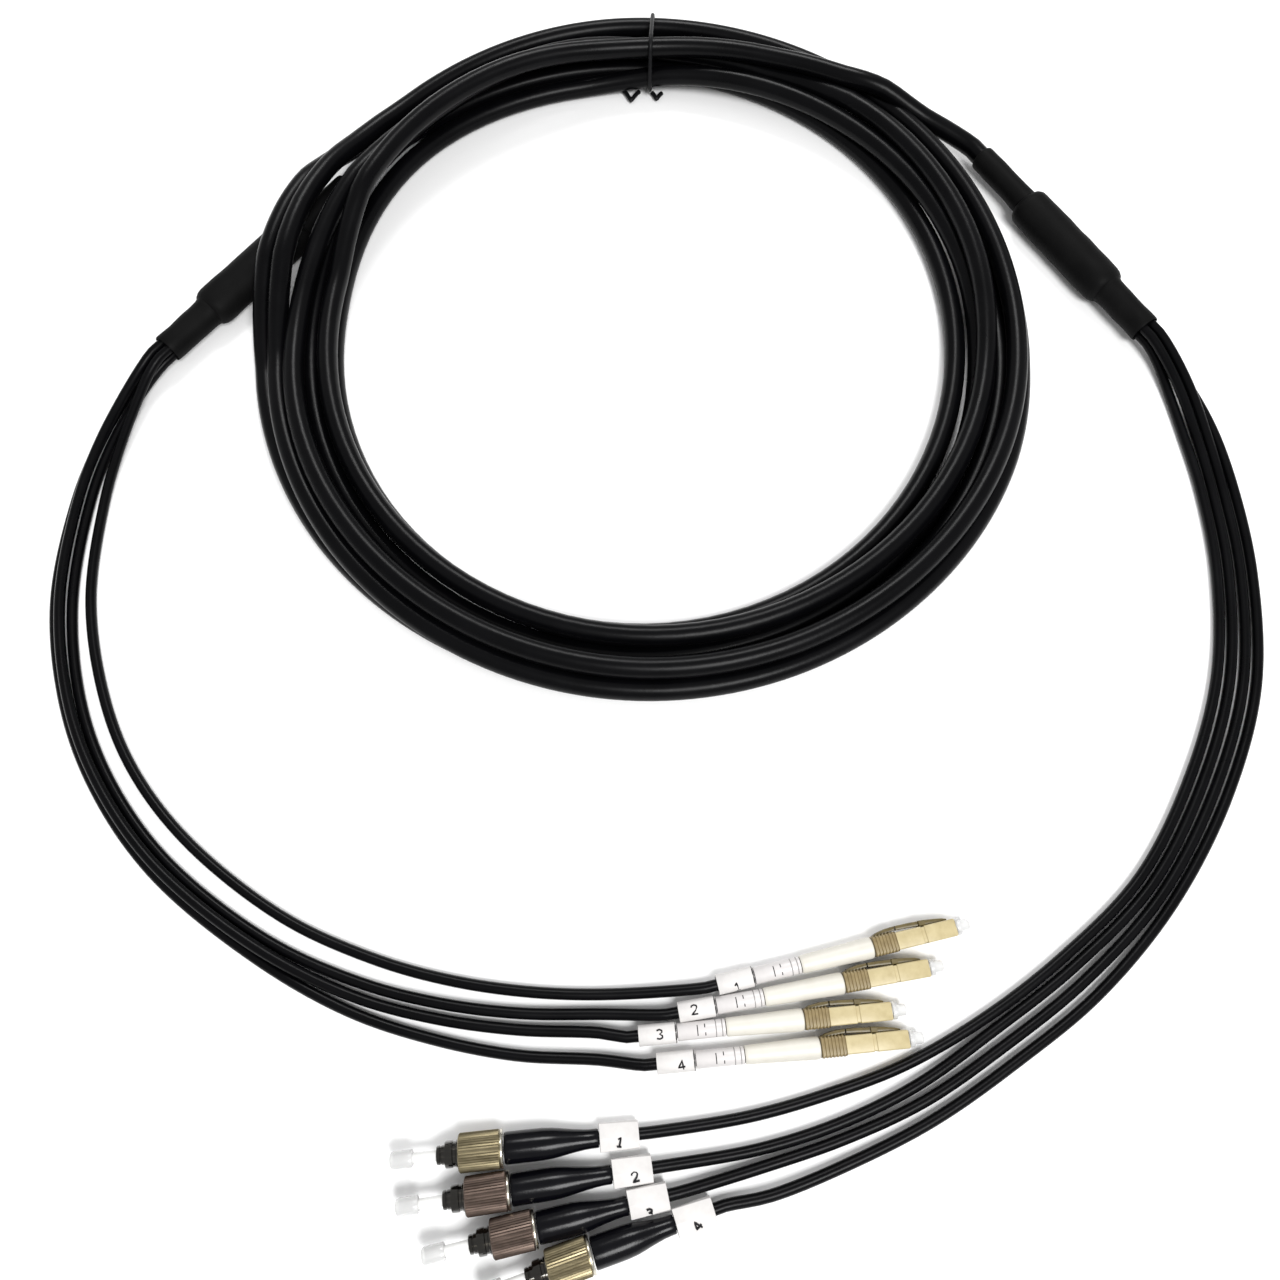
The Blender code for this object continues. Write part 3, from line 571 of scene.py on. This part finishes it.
# Legs: the middle of each bundle over the floor, then each leg's distance to its left and its height
legs = {
    "diameter": 3.0,
    "straight": 9.8,  # mm through each number label
    "plugBack": {"lc": 0.3, "fc": 5.7},  # mm from the plug's own place back to the leg's end
    "lcRoute": [
        (-150.6, -12.0), (-156.4, -19.8), (-161.3, -31.6), (-165.3, -46.0),
        (-168.0, -63.7), (-167.4, -96.9), (-159.4, -127.8), (-147.1, -151.1),
        (-128.0, -173.1), (-98.0, -194.0), (-72.2, -204.7), (-50.9, -209.8),
        (-30.1, -212.2), (-9.4, -212.4),
    ],
    "fcRoute": [
        (164.1, -4.3), (169.5, -13.5), (173.7, -25.0), (177.0, -40.0),
        (179.2, -60.0), (179.0, -88.0), (173.0, -121.8), (159.0, -153.0),
        (139.7, -181.1), (116.1, -202.3), (93.3, -218.0), (71.5, -231.3),
        (50.8, -240.0), (30.6, -245.8),
    ],
    "lc": {
        1: [
            (1.7, 7.8), (2.1, 6.6), (3.1, 4.6), (3.6, 2.6), (4.3, 1.5), (5.3, 1.5), (6.5, 1.5),
            (6.7, 1.5), (7.2, 1.5), (6.9, 1.5), (6.6, 1.5), (6.0, 1.5), (5.4, 1.5), (4.8, 1.6),
        ],
        2: [
            (1.7, 4.4), (1.4, 3.2), (0.3, 1.8), (-0.1, 1.5), (0, 1.5), (0, 1.5), (0, 1.5),
            (0, 1.5), (0, 1.5), (0, 1.5), (0, 1.5), (0, 1.5), (0, 1.5), (0, 1.8),
        ],
        3: [
            (-1.7, 7.8), (-1.5, 6.5), (-1.8, 5.0), (-2.1, 4.4), (-2.2, 4.2), (-2.5, 4.0), (-2.2, 4.2),
            (-2.1, 4.3), (-2.2, 4.2), (-2.5, 4.0), (-3.6, 2.0), (-3.8, 1.5), (-4.0, 1.6), (-4.5, 2.4),
        ],
        4: [
            (-1.7, 4.4), (-2.0, 3.0), (-3.4, 1.8), (-4.0, 1.5), (-4.4, 1.5), (-5.0, 1.5), (-4.4, 1.5),
            (-4.2, 1.5), (-4.4, 1.5), (-5.0, 1.5), (-7.3, 1.5), (-8.7, 1.5), (-10.1, 1.5), (-10.9, 1.8),
        ],
    },
    "fc": {
        1: [
            (-1.7, 4.4), (-2.1, 3.1), (-3.7, 1.8), (-4.9, 1.5), (-5.1, 1.5), (-5.3, 1.5), (-5.6, 1.5),
            (-5.4, 1.5), (-5.1, 1.5), (-5.5, 1.5), (-5.7, 1.5), (-7.5, 1.5), (-9.0, 1.5), (-9.6, 1.6),
        ],
        2: [
            (-1.7, 7.8), (-1.7, 6.5), (-1.7, 4.7), (-1.7, 2.7), (-1.7, 1.5), (-1.8, 1.5), (-1.9, 1.5),
            (-1.8, 1.5), (-1.7, 1.5), (-2.1, 1.5), (-2.2, 1.5), (-2.0, 1.5), (-1.8, 1.5), (-1.9, 1.7),
        ],
        3: [
            (1.7, 7.8), (1.7, 6.5), (1.7, 4.7), (1.7, 2.7), (1.7, 1.5), (1.8, 1.5), (1.9, 1.5),
            (1.8, 1.5), (1.7, 1.5), (2.1, 1.5), (2.2, 1.5), (2.0, 1.5), (1.8, 1.5), (2.1, 1.8),
        ],
        4: [
            (1.7, 4.4), (2.1, 3.1), (3.7, 1.8), (4.9, 1.5), (5.1, 1.5), (5.3, 1.5), (5.6, 1.5),
            (5.4, 1.5), (5.1, 1.5), (6.6, 1.5), (6.8, 1.5), (6.7, 1.5), (7.3, 1.5), (8.6, 2.0),
        ],
    },
}

# Plugs: label centre, then the LC housing's rear face or the FC nut's middle, over the floor in mm
plugs = {
    "heights": {"lc": (2.85, 2.85), "fc": (2.6, 4.75)},
    "lc": {
        1: ((25.7, -204.2), (62.0, -195.9)),
        2: ((15.6, -211.2), (53.8, -204.8)),
        3: ((5.4, -217.2), (43.0, -213.7)),
        4: ((10.0, -223.8), (46.8, -220.4)),
    },
    "fc": {
        1: ((-4.3, -240.8), (-38.0, -243.9)),
        2: ((-1.0, -248.6), (-35.9, -253.2)),
        3: ((2.9, -255.0), (-29.2, -261.8)),
        4: ((14.1, -258.5), (-15.7, -267.7)),
    },
}


def plugAxis(end, number):
    heights = plugs["heights"][end]
    return [Vector((*place, height)) * mm for place, height in zip(plugs[end][number], heights)]


def legPath(end, number):  # from inside the breakout's sleeve to inside the plug
    route = [Vector((x, y, 0)) for x, y in legs[end + "Route"]]
    spread = legs[end][number]
    exitPoint, backwards = breakoutAxis(end)
    left = Vector((backwards.y, -backwards.x, 0))
    first = exitPoint + left * spread[0][0] * mm
    first.z = spread[0][1] * mm
    points = [first + backwards * 2 * mm, first, first - backwards * 4 * mm]
    for index in range(1, len(route)):
        heading = (route[min(index + 1, len(route) - 1)] - route[index - 1]).normalized()
        aside = Vector((-heading.y, heading.x, 0)) * spread[index][0]
        points.append((route[index] + aside + Vector((0, 0, spread[index][1]))) * mm)
    label, plug = plugAxis(end, number)
    toward = (plug - label).normalized()
    straight = label - toward * legs["straight"] / 2 * mm
    points += [straight - toward * 3 * mm, straight]
    path = smoothPath(points, 3.0 * mm)
    path.append(plug - toward * legs["plugBack"][end] * mm)
    return path


def addLegs():
    made = {}
    for end in ("lc", "fc"):
        for number in range(1, 5):
            path = legPath(end, number)
            name = f"{end}_leg_{number}"
            obj = addWire(name + "_jacket", [(path, False)], legs["diameter"], "jacket", 4, [name])
            made[end, number] = (obj, path)
    return made


trunkLine = trunkPath()
trunkCable = addWire(
    "trunk_cable", [(trunkLine, False)], trunk["diameter"], "jacket", 6, ["trunk_coil", "trunk_tail"],
)
legCables = addLegs()
trunkTop = max(point.z for point in trunkLine) / mm
print("cables laid: trunk", round(pathLength(trunkLine), 3), "m, top at", round(trunkTop, 1), "mm")


# Heat-shrink: (radius, distance back from the leg end) for each sleeve
shrinkWiden = {"leg_sleeve": 1.06, "body": 1.14, "trunk_sleeve": 1.0}
shrinkSleeves = {
    "leg_sleeve": [
        (0, 1.8), (3.9, 1.8), (4.1, 0.1), (4.35, 0), (4.5, 0.4), (4.5, 3), (4.42, 6), (4.5, 9), (4.55, 12),
        (4.5, 15), (4.6, 17.4), (4.9, 18.6), (4.6, 19.6), (0, 19.6),
    ],
    "body": [
        (0, 18.4), (4.5, 18.4), (5.2, 19.0), (5.75, 20.3), (5.95, 21.8), (6.0, 26), (5.93, 31), (6.0, 36),
        (5.95, 42), (6.0, 48), (5.95, 54), (5.95, 57.2), (5.8, 58.6), (5.1, 59.9), (4.4, 60.4), (0, 60.4),
    ],
    "trunk_sleeve": [
        (0, 59.4), (4.4, 59.4), (4.3, 61.5), (4.2, 64), (4.15, 69), (4.22, 74), (4.15, 79), (4.2, 82.6),
        (4.1, 83.7), (3.85, 84.0), (3.4, 83.9), (3.3, 83.0), (0, 83.0),
    ],
}


def addBreakout(end):
    exitPoint, backwards = breakoutAxis(end)
    matrix = axisFrame(exitPoint, exitPoint + backwards, exitPoint)
    for piece, profile in shrinkSleeves.items():
        bm = turned(profile, 48)
        skin = [edge for edge in bm.edges if all(vert.co.xy.length > 3 * mm for vert in edge.verts)]
        long = [edge for edge in skin if edge.calc_length() > 2.5 * mm]
        bmesh.ops.subdivide_edges(bm, edges=long, cuts=1, use_grid_fill=True)
        bmesh.ops.scale(bm, vec=(shrinkWiden[piece], 1, 1), verts=bm.verts)
        roughen(bm, 0.20, 160)
        moveTo(bm, matrix)
        addMesh(f"{end}_{piece}_shrink", bm, "shrink", smoothUnder=50, replaced=[f"{end}_breakout_{piece}"])


# Wire tie: hugs the strands that it crosses, with bent ends inside and outside the coil
tie = {
    "angle": 87.5,  # degrees from +X
    "diameter": 1.5,
    "overlap": 0.6,  # mm that each bend starts under the coil's edge
    "bends": [  # sideways place, height, reach and half width in mm
        (-6.6, 1.2, -3.4, 1.9), (2.6, 1.2, -2.2, 1.2), (0.0, 3.4, 2.5, 1.7),
    ],
}


def addTie():
    across = Vector((cos(radians(tie["angle"])), sin(radians(tie["angle"])), 0))
    along = Vector((-across.y, across.x, 0))
    strands = []
    for start, end in zip(trunkLine, trunkLine[1:]):
        before, after = start.dot(along), end.dot(along)
        if before * after <= 0 and start.dot(across) > 0:
            place = start.lerp(end, before / (before - after))
            strands.append(Vector((place.dot(across), place.z)))
    reach = (trunk["diameter"] + tie["diameter"]) / 2 * mm
    loop = []
    for step in range(72):
        way = Vector((cos(radians(5 * step)), sin(radians(5 * step))))
        corner = max(strands, key=way.dot) + way * reach
        loop.append(across * corner.x + Vector((0, 0, max(corner.y, 0.5 * mm))))
    inner = min(strand.x for strand in strands) / mm - trunk["diameter"] / 2
    outer = max(strand.x for strand in strands) / mm + trunk["diameter"] / 2
    lines = [(loop, True)]
    for sideways, height, length, width in tie["bends"]:
        edge = inner + tie["overlap"] if length < 0 else outer - tie["overlap"]
        bend = []
        for share in (-1.5, -1.0, -0.5, -0.18, 0, 0.18, 0.5, 1.0, 1.5):
            out = length * (1 - abs(share)) if abs(share) <= 1 else -length * 0.3
            place = across * (edge + out) - along * (sideways + share * width) + Vector((0, 0, height))
            bend.append(place * mm)
        lines.append((bend, False))
    addWire("tie_wire", lines, tie["diameter"], "tie", 3, ["coil_tie"])


# Number labels: flattened tubes round each leg, with a digit printed on each
labels = {
    "length": 9.8, "halfHeight": 2.2, "wall": 0.4,
    "halfWidth": {"lc": 2.6, "fc": 3.3},
    "digitHeight": 2.4, "lineWidth": 0.46,
    "digits": {  # strokes on a box 2 wide and 2 high
        1: [[(-0.42, 0.52), (0.1, 1.0), (0.1, -1.0)], [(-0.4, -1.0), (0.55, -1.0)]],
        2: [[
            (-0.62, 0.5), (-0.5, 0.85), (0, 1.0), (0.5, 0.8), (0.58, 0.4), (0.3, -0.1),
            (-0.65, -1.0), (0.68, -1.0),
        ]],
        3: [[
            (-0.6, 0.8), (0, 1.0), (0.5, 0.75), (0.5, 0.3), (-0.05, 0.06), (0.55, -0.25),
            (0.55, -0.75), (0, -1.0), (-0.65, -0.8),
        ]],
        4: [[(0.3, -1.0), (0.3, 1.0), (-0.7, -0.4), (0.75, -0.4)]],
    },
    "shift": {  # right and towards the camera's side in mm, and lean in degrees
        "lc": {1: (0.0, 1.9, -8), 2: (-0.8, 0.0, 0), 3: (0.5, 0.1, 0), 4: (1.3, 0.9, -6)},
        "fc": {1: (0.0, 1.3, 14), 2: (0.5, 1.2, -10), 3: (-0.3, 2.9, 8), 4: (0.0, 2.0, -38)},
    },
}


def ovalSpot(along, around, halfWidth, halfHeight, lift):  # a place on a flattened tube, from its top
    flat = halfWidth - halfHeight
    beyond = max(0, abs(around) - flat) / halfHeight
    side = 1 if around > 0 else -1
    across = min(abs(around), flat) + (halfHeight + lift) * sin(beyond)
    return Vector((side * across, (halfHeight + lift) * cos(beyond), along)) * mm


# Strokes of (along, around) in mm, laid on a flattened tube
def addPrint(name, matrix, strokes, halfWidth, halfHeight, width, look="inkAndGapShade"):
    lines = []
    for stroke in strokes:
        corners = []
        for start, end in zip(stroke, stroke[1:]):
            pieces = max(1, round(dist(start, end) / 0.3))
            corners += [[a + (b - a) * i / pieces for a, b in zip(start, end)] for i in range(pieces)]
        corners.append(stroke[-1])
        line = [matrix @ ovalSpot(*corner, halfWidth, halfHeight, 0.05 - width / 2) for corner in corners]
        lines.append((line, False))
    addWire(name, lines, width, look, 1)


def addLabel(end, number, matrix, middle):
    halfWidth = labels["halfWidth"][end]
    halfHeight = labels["halfHeight"]
    wall = labels["wall"]
    reach = labels["length"] / 2

    def spot(angle, spoke, height, wide, high):
        x = high * cos(angle)
        lean = (wide - high) * (1 if x > 1e-6 else -1 if x < -1e-6 else 0)
        return x + lean, high * sin(angle), height

    bm = hooped(40, [
        (-reach, halfWidth - wall, halfHeight - wall), (-reach, halfWidth - 0.1, halfHeight - 0.1),
        (0.1 - reach, halfWidth, halfHeight), (0, halfWidth, halfHeight),
        (reach - 0.1, halfWidth, halfHeight), (reach, halfWidth - 0.1, halfHeight - 0.1),
        (reach, halfWidth - wall, halfHeight - wall),
    ], spot)
    moveTo(bm, matrix, middle)
    addMesh(f"{end}_number_label_{number}", bm, "paper", smoothUnder=40, replaced=[f"{end}_label_{number}"])
    turn = 1 if end == "lc" else -1  # the FC plugs point the other way
    right, near, lean = labels["shift"][end][number]
    size = labels["digitHeight"] / 2
    strokes = []
    for stroke in labels["digits"][number]:
        leaning = [Vector(corner) * size @ Matrix.Rotation(radians(lean), 2) for corner in stroke]
        strokes.append([(middle + turn * (corner.x + right), turn * (corner.y - near)) for corner in leaning])
    addPrint(f"{end}_digit_{number}", matrix, strokes, halfWidth, halfHeight, labels["lineWidth"])
    if end == "lc":
        # a black ring of painted shade at the label's end, where the gap to the marker lies
        ring = [(middle + reach - 0.25, around * 0.5) for around in range(-9, 10)]
        addPrint(f"lc_label_edge_{number}", matrix, [ring], halfWidth, halfHeight, 0.3)


# LC plug: places along its axis from the rear face of its housing, in mm
lcPlug = {
    "gripRibs": 7, "gripLength": 6.2, "grip": 5.2, "body": 4.5, "length": 22.5,
    "bootLength": 18.8, "markerLength": 12.3, "markerWidth": 4.4,
    "play": 0.2,  # mm between the housing, boot, marker and label
    "boot": [
        (1.8, 0), (2.45, 0), (2.72, -0.25), (2.8, -0.8), (2.78, -2.6), (2.7, -5), (2.58, -9), (2.46, -13),
        (2.38, -16), (2.34, -18), (2.3, -18.55), (2.1, -18.8), (1.8, -18.8),
    ],
    "marker": [
        (1.8, 0), (2.1, 0), (2.2, -0.12), (2.2, -0.7), (2.12, -0.8), (2.12, -0.95), (2.2, -1.05), (2.2, -2.3),
        (2.12, -2.4), (2.12, -2.55), (2.2, -2.65), (2.2, -12.15), (2.1, -12.3), (1.8, -12.3),
    ],
    "ferrule": [(0, 17.2), (0.625, 17.2), (0.625, 22.0), (0.5, 22.3), (0, 22.3)],
    "cap": [
        (0, 26.5), (1.0, 26.5), (1.35, 26.3), (1.5, 25.9), (1.5, 24.3), (1.6, 24.1), (2.05, 24.0),
        (2.15, 23.8), (2.15, 23.0), (2.05, 22.8), (1.5, 22.75), (1.45, 17.9),
        (0.93, 17.9), (0.93, 22.8), (0, 22.8),
    ],
    "arm": [  # height along the plug, thickness, width and distance from the axis
        (20.8, 0.6, 2.4, 2.3), (19.6, 1.0, 2.6, 2.5), (16.2, 1.3, 2.6, 2.85), (14.9, 1.4, 2.6, 2.95),
        (14.8, 1.4, 3.9, 2.95), (13.2, 1.4, 3.9, 3.05), (13.1, 1.3, 2.6, 3.05), (9.5, 1.2, 2.6, 3.25),
        (7.0, 1.1, 2.6, 3.3),
    ],
    "trigger": [
        (0.4, 0.6, 2.8, 2.35), (1.6, 1.1, 2.8, 2.7), (4.2, 1.3, 2.8, 3.1), (6.6, 1.0, 2.8, 3.35),
    ],
    "strokes": [[(0, 1.3), (0, -1.5)], [(1.9, 1.5), (1.9, 0.5)], [(2.0, -0.7), (2.0, -1.6)]],
    "strokesBack": 7.6,  # mm from the boot's end
    # rings of painted shade, placed in the marker's two grooves
    "rings": (1.27, 2.87),  # mm from the boot's end
}


def addLcPlug(number):
    label, rear = plugAxis("lc", number)
    matrix = axisFrame(label, rear, rear)
    labelMiddle = -(rear - label).length / mm
    grip = lcPlug["grip"]
    body = lcPlug["body"]
    length = lcPlug["length"]
    gripEnd = lcPlug["gripLength"]
    pitch = gripEnd / lcPlug["gripRibs"]
    play = lcPlug["play"]
    # What is left for the boot between the plug and the marker
    boot = -labelMiddle - labels["length"] / 2 - lcPlug["markerLength"] - 3 * play
    stretch = boot / lcPlug["bootLength"]
    ribs = [(0, grip - 0.5, grip - 0.5, 0), (0.15, grip - 0.1, grip - 0.1, 0)]
    for rib in range(lcPlug["gripRibs"]):
        at = rib * pitch
        ribs += [(at + spot, width, width, 0) for spot, width in (
            (0.2, grip), (pitch * 0.55, grip), (pitch * 0.65, grip - 0.5), (pitch * 0.95, grip - 0.5),
        )]
    ribs += [(gripEnd, grip - 0.1, grip - 0.1, 0), (gripEnd + 0.3, body - 0.2, body - 0.2, 0)]
    shell = [(at, width, width, 0) for at, width in (
        (5.6, body), (13.2, body), (13.4, body - 0.4), (14.1, body - 0.4), (14.3, body),
        (length - 0.35, body), (length, body - 0.4), (length, 3.5), (length - 5, 3.5),
    )]
    pieces = {
        "shell": ("housing", drawnOut(0.09, shell), 0, ["housing"]),
        "grip": ("grip", drawnOut(0.12, ribs), 0, []),
        # the latch arm and trigger take the olive of painted shade, not the housing's own beige
        "latch_arm": ("latchPaintedShade", drawnOut(0.14, lcPlug["arm"]), 0, []),
        "trigger": ("latchPaintedShade", drawnOut(0.14, lcPlug["trigger"]), 0, []),
        "ferrule": ("ceramic", turned(lcPlug["ferrule"], 20), 0, []),
        "cap": ("cap", turned(lcPlug["cap"], 28), 0, ["dust_cap"]),
        "strain_boot": ("whiteBoot", turned(stretched(lcPlug["boot"], stretch), 36), -play, ["boot"]),
        "marker_tube": ("marker", turned(lcPlug["marker"], 32), -2 * play - boot, ["marker"]),
    }
    for piece, (look, bm, along, nodes) in pieces.items():
        moveTo(bm, matrix, along)
        addMesh(f"lc_{piece}_{number}", bm, look, replaced=[f"lc_{node}_{number}" for node in nodes])
    half = lcPlug["markerWidth"] / 2
    back = boot + lcPlug["strokesBack"]
    printed = [[(along - back, around) for along, around in stroke] for stroke in lcPlug["strokes"]]
    addPrint(f"lc_marker_print_{number}", matrix, printed, half, half, 0.44)
    # grey rings of painted shade, sitting in the marker's two grooves
    rings = [[(-boot - at, around * 0.5) for around in range(-6, 7)] for at in lcPlug["rings"]]
    addPrint(f"lc_marker_rings_{number}", matrix, rings, half - 0.04, half - 0.04, 0.2, "paintedGrooveShade")
    addLabel("lc", number, matrix, labelMiddle)


# FC plug: places along its axis from the middle of its nut, in mm
fcPlug = {
    "teeth": 44,
    "nut": [  # height, radius and depth of the knurl
        (5.4, 3.4, 0), (5.4, 4.15, 0), (5.2, 4.38, 0), (5.0, 4.5, 0.20), (-4.45, 4.5, 0.20), (-4.55, 4.3, 0),
        (-4.8, 4.3, 0), (-4.85, 3.4, 0),
    ],
    "rim": [(3.4, -4.8), (4.36, -4.8), (4.48, -4.92), (4.48, -5.22), (4.35, -5.38), (4.1, -5.4), (3.4, -5.4)],
    "barrel": [
        (0, -5.4), (3.1, -5.4), (3.1, 5.9), (2.85, 6.05), (2.85, 6.7), (3.1, 6.85), (3.1, 8.4), (2.95, 8.65),
        (2.2, 8.7), (2.2, 9.5), (2.05, 9.6), (2.05, 9.8), (2.2, 9.9), (2.2, 10.45), (2.05, 10.7), (0, 10.7),
    ],
    "ferrule": [(0, 10.5), (1.25, 10.5), (1.25, 20.3), (1.05, 20.7), (0, 20.7)],
    "cap": [
        (0, 22.0), (1.3, 22.0), (1.75, 21.75), (2.05, 21.0), (2.05, 17.6), (2.05, 16.7), (1.95, 16.5),
        (1.55, 16.5), (1.55, 21.0), (0, 21.0),
    ],
    "boot": [
        (1.8, 0), (3.45, 0), (3.66, -0.2), (3.7, -0.6), (3.7, -3), (3.7, -6), (3.66, -8.2), (3.5, -10.2),
        (3.2, -12), (2.85, -13.8), (2.55, -15.6), (2.32, -17.2), (2.22, -18.6), (2.2, -20.0), (2.05, -20.3),
        (1.8, -20.3),
    ],
    "bootStart": 5.7, "bootLength": 20.3,
    "play": 0.2,  # mm between the boot and the label
}


def addFcPlug(number):
    label, middle = plugAxis("fc", number)
    matrix = axisFrame(label, middle, middle)
    count = fcPlug["teeth"] * 2

    def knurl(angle, spoke, height, radius, depth):
        radius -= depth * (spoke % 2)
        return radius * cos(angle), radius * sin(angle), height

    plating = "nickelWarm" if number in (1, 4) else "nickelBrown"
    labelMiddle = -(middle - label).length / mm
    # What is left for the boot between the barrel and the label
    boot = -labelMiddle - labels["length"] / 2 - fcPlug["bootStart"] - fcPlug["play"]
    bootProfile = stretched(fcPlug["boot"], boot / fcPlug["bootLength"])
    nut = f"fc_nut_{number}"
    pieces = {
        "coupling_nut": (plating, hooped(count, fcPlug["nut"], knurl), 0, nut, ["nut"]),
        # the rim's pale nickel is a painted highlight on the nut's rear edge
        "nut_rim": ("nickelPaintedHighlight", turned(fcPlug["rim"], 64), 0, nut, []),
        "body": ("nickelDark", turned(fcPlug["barrel"], 48), 0, cableBody, ["barrel"]),
        "ferrule": ("ceramic", turned(fcPlug["ferrule"], 28), 0, cableBody, []),
        "cap": ("cap", turned(fcPlug["cap"], 32), 0, cableBody, ["dust_cap"]),
        "strain_boot": ("blackBoot", turned(bootProfile, 44), -fcPlug["bootStart"], cableBody, ["boot"]),
    }
    for piece, (look, bm, along, body, nodes) in pieces.items():
        moveTo(bm, matrix, along)
        smoothUnder = 25 if piece == "coupling_nut" else 40
        replaced = [f"fc_{node}_{number}" for node in nodes]
        addMesh(f"fc_{piece}_{number}", bm, look, body, smoothUnder, replaced)
    addLabel("fc", number, matrix, labelMiddle)


for plugEnd in ("lc", "fc"):
    addBreakout(plugEnd)
addTie()
for plugNumber in range(1, 5):
    addLcPlug(plugNumber)
    addFcPlug(plugNumber)
print("breakouts, tie and plugs made")


# Floor and light
studio = {
    "floor": (0.97, 0.97, 0.97),
    "floorSize": 3.0,  # m either way
    "sky": (1.0, 1.0, 1.0),
    "skyStrength": 0.56,
    "target": (0.0, -0.10, 0.0),
    "lamps": [
        {"name": "key", "place": (0.30, -0.62, 0.95), "size": 0.42, "power": 11.5},
        {"name": "back", "place": (0.05, 0.95, 1.05), "size": 0.38, "power": 8.5},
    ],
}


def addStudio():
    bm = bmesh.new()
    bmesh.ops.create_grid(bm, x_segments=2, y_segments=2, size=studio["floorSize"])
    mesh = bpy.data.meshes.new("floor")
    bm.to_mesh(mesh)
    bm.free()
    mat = Finish("floorPaper", Roughness=0.9)
    mat.set("Base Color", (*studio["floor"], 1.0))
    mesh.materials.append(mat.material)
    floor = bpy.data.objects.new("floor", mesh)
    floor.location.z = -0.0002
    bpy.context.scene.collection.objects.link(floor)
    world = bpy.data.worlds.new("studio")
    world.use_nodes = True
    background = world.node_tree.nodes["Background"]
    background.inputs["Color"].default_value = (*studio["sky"], 1.0)
    background.inputs["Strength"].default_value = studio["skyStrength"]
    bpy.context.scene.world = world
    bpy.context.scene.view_settings.view_transform = "Standard"
    for lamp in studio["lamps"]:
        data = bpy.data.lights.new(lamp["name"], "AREA")
        data.size = lamp["size"]
        data.energy = lamp["power"]
        obj = bpy.data.objects.new(lamp["name"], data)
        obj.location = lamp["place"]
        toward = Vector(studio["target"]) - obj.location
        obj.rotation_euler = toward.to_track_quat("-Z", "Y").to_euler()
        bpy.context.scene.collection.objects.link(obj)


addStudio()

pathLength(trunkLine)
for (end, number), (cable, path) in legCables.items():
    pathLength(path)

print("all pieces made")
